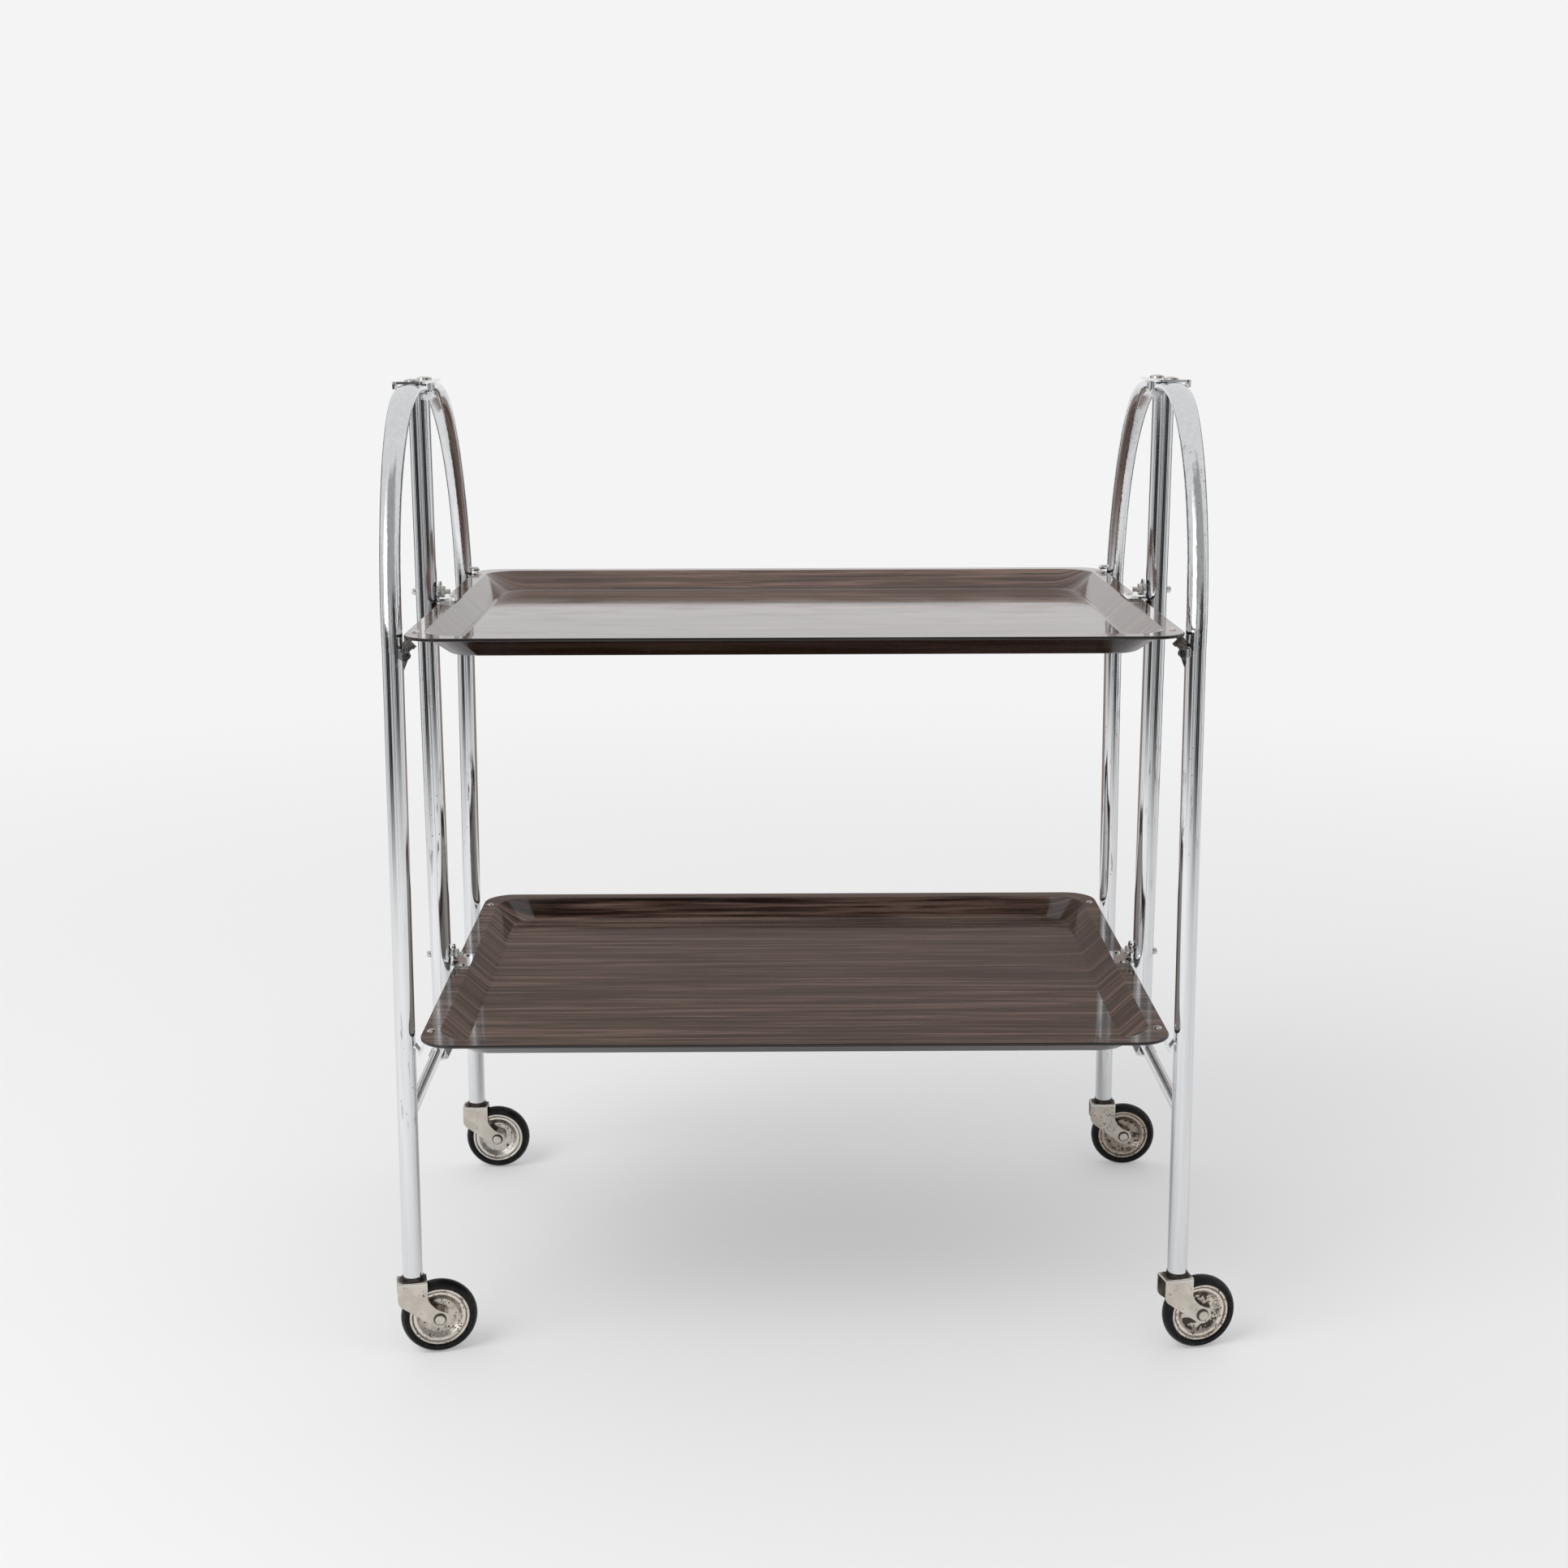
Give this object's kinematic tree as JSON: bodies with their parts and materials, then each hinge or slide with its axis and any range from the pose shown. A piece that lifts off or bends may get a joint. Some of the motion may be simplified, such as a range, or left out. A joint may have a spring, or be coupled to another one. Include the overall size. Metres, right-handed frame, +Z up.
{
  "type": "folding serving trolley",
  "caption": "Folding serving trolley with a chromed tube frame, arched end handles, tilting wood-grain trays and swivel casters.",
  "frame": {"origin": "on the floor, midway between the two posts", "axes": "+Z up, +X to the right along the trays, +Y towards the rear; the latches face -Y"},
  "size_m": [0.6886, 0.44, 0.78],
  "materials": {
    "chrome_tube": "bright plated tube and sheet, lightly scuffed",
    "rivet_steel": "plated rivets and pins",
    "woodgrain": "glossy dark wood-grain laminate, grain along X",
    "black_lacquer": "black lacquer",
    "nickel": "aged nickel plate with pitting",
    "wheel_disc": "stamped nickel-plated disc with pitting",
    "tyre": "black rubber"
  },
  "bodies": {
    "frame": {"caster_stem_front_left": "nickel", "caster_stem_front_right": "nickel", "caster_stem_rear_left": "nickel", "caster_stem_rear_right": "nickel", "crossbar_front_left": "chrome_tube", "crossbar_front_right": "chrome_tube", "crossbar_rear_left": "chrome_tube", "crossbar_rear_right": "chrome_tube", "foot_hinge_left": "chrome_tube", "foot_hinge_right": "chrome_tube", "foot_pins": "rivet_steel", "hinge_rivets": "rivet_steel", "latch_lug_left": "chrome_tube", "latch_lug_right": "chrome_tube", "latch_pins": "rivet_steel", "leg_front_left": "chrome_tube", "leg_front_right": "chrome_tube", "leg_rear_left": "chrome_tube", "leg_rear_right": "chrome_tube", "lower_pivot_pin_left": "rivet_steel", "lower_pivot_pin_right": "rivet_steel", "lower_tray_rests": "chrome_tube", "post_left": "chrome_tube", "post_plugs": "black_lacquer", "post_right": "chrome_tube", "top_bracket_left": "chrome_tube", "top_bracket_right": "chrome_tube", "top_pivot_pin_left": "rivet_steel", "top_pivot_pin_right": "rivet_steel", "top_tray_stops": "chrome_tube"},
    "top_tray_body": {"top_corner_plates": "chrome_tube", "top_pivot_bracket_left": "chrome_tube", "top_pivot_bracket_right": "chrome_tube", "top_tray": "woodgrain", "top_tray_rivets": "rivet_steel"},
    "lower_tray_body": {"lower_corner_plates": "chrome_tube", "lower_pivot_bracket_left": "chrome_tube", "lower_pivot_bracket_right": "chrome_tube", "lower_tray": "woodgrain", "lower_tray_rivets": "rivet_steel"},
    "latch_left": {"latch_lever_left": "black_lacquer"},
    "latch_right": {"latch_lever_right": "black_lacquer"},
    "caster_front_left": {"caster_fork_front_left": "nickel", "caster_axle_front_left": "nickel"},
    "wheel_front_left": {"caster_disc_front_left": "wheel_disc", "caster_tyre_front_left": "tyre"},
    "caster_front_right": {"caster_fork_front_right": "nickel", "caster_axle_front_right": "nickel"},
    "wheel_front_right": {"caster_disc_front_right": "wheel_disc", "caster_tyre_front_right": "tyre"},
    "caster_rear_left": {"caster_fork_rear_left": "nickel", "caster_axle_rear_left": "nickel"},
    "wheel_rear_left": {"caster_disc_rear_left": "wheel_disc", "caster_tyre_rear_left": "tyre"},
    "caster_rear_right": {"caster_fork_rear_right": "nickel", "caster_axle_rear_right": "nickel"},
    "wheel_rear_right": {"caster_disc_rear_right": "wheel_disc", "caster_tyre_rear_right": "tyre"}
  },
  "joints": [
    {"name": "top_tray_tilt", "type": "hinge", "parent": "frame", "child": "top_tray_body", "pos_m": [0, 0, 0.6015], "axis": [-1, 0, 0], "range_deg": [0, 80]},
    {"name": "lower_tray_tilt", "type": "hinge", "parent": "frame", "child": "lower_tray_body", "pos_m": [0, 0, 0.2805], "axis": [-1, 0, 0], "range_deg": [0, 80]},
    {"name": "latch_left_turn", "type": "hinge", "parent": "frame", "child": "latch_left", "pos_m": [-0.2942, -0.2034, 0.579], "axis": [0, 1, 0], "range_deg": [0, 40], "stiffness_Nm_per_rad": 0.01, "springref_deg": -17.19},
    {"name": "latch_right_turn", "type": "hinge", "parent": "frame", "child": "latch_right", "pos_m": [0.2942, -0.2034, 0.579], "axis": [0, -1, 0], "range_deg": [0, 40], "stiffness_Nm_per_rad": 0.01, "springref_deg": -17.19},
    {"name": "swivel_front_left", "type": "hinge", "parent": "frame", "child": "caster_front_left", "pos_m": [-0.3115, -0.194, 0.0645], "axis": [0, 0, 1], "continuous": true},
    {"name": "roll_front_left", "type": "hinge", "parent": "caster_front_left", "child": "wheel_front_left", "pos_m": [-0.29194, -0.18984, 0.031], "axis": [-0.2079, 0.9781, 0], "continuous": true},
    {"name": "swivel_front_right", "type": "hinge", "parent": "frame", "child": "caster_front_right", "pos_m": [0.3115, -0.194, 0.0645], "axis": [0, 0, 1], "continuous": true},
    {"name": "roll_front_right", "type": "hinge", "parent": "caster_front_right", "child": "wheel_front_right", "pos_m": [0.33099, -0.1895, 0.031], "axis": [-0.225, 0.9744, 0], "continuous": true},
    {"name": "swivel_rear_left", "type": "hinge", "parent": "frame", "child": "caster_rear_left", "pos_m": [-0.3115, 0.194, 0.0645], "axis": [0, 0, 1], "continuous": true},
    {"name": "roll_rear_left", "type": "hinge", "parent": "caster_rear_left", "child": "wheel_rear_left", "pos_m": [-0.2915, 0.19435, 0.031], "axis": [-0.0175, 0.9998, 0], "continuous": true},
    {"name": "swivel_rear_right", "type": "hinge", "parent": "frame", "child": "caster_rear_right", "pos_m": [0.3115, 0.194, 0.0645], "axis": [0, 0, 1], "continuous": true},
    {"name": "roll_rear_right", "type": "hinge", "parent": "caster_rear_right", "child": "wheel_rear_right", "pos_m": [0.33149, 0.1933, 0.031], "axis": [0.0349, 0.9994, 0], "continuous": true}
  ]
}
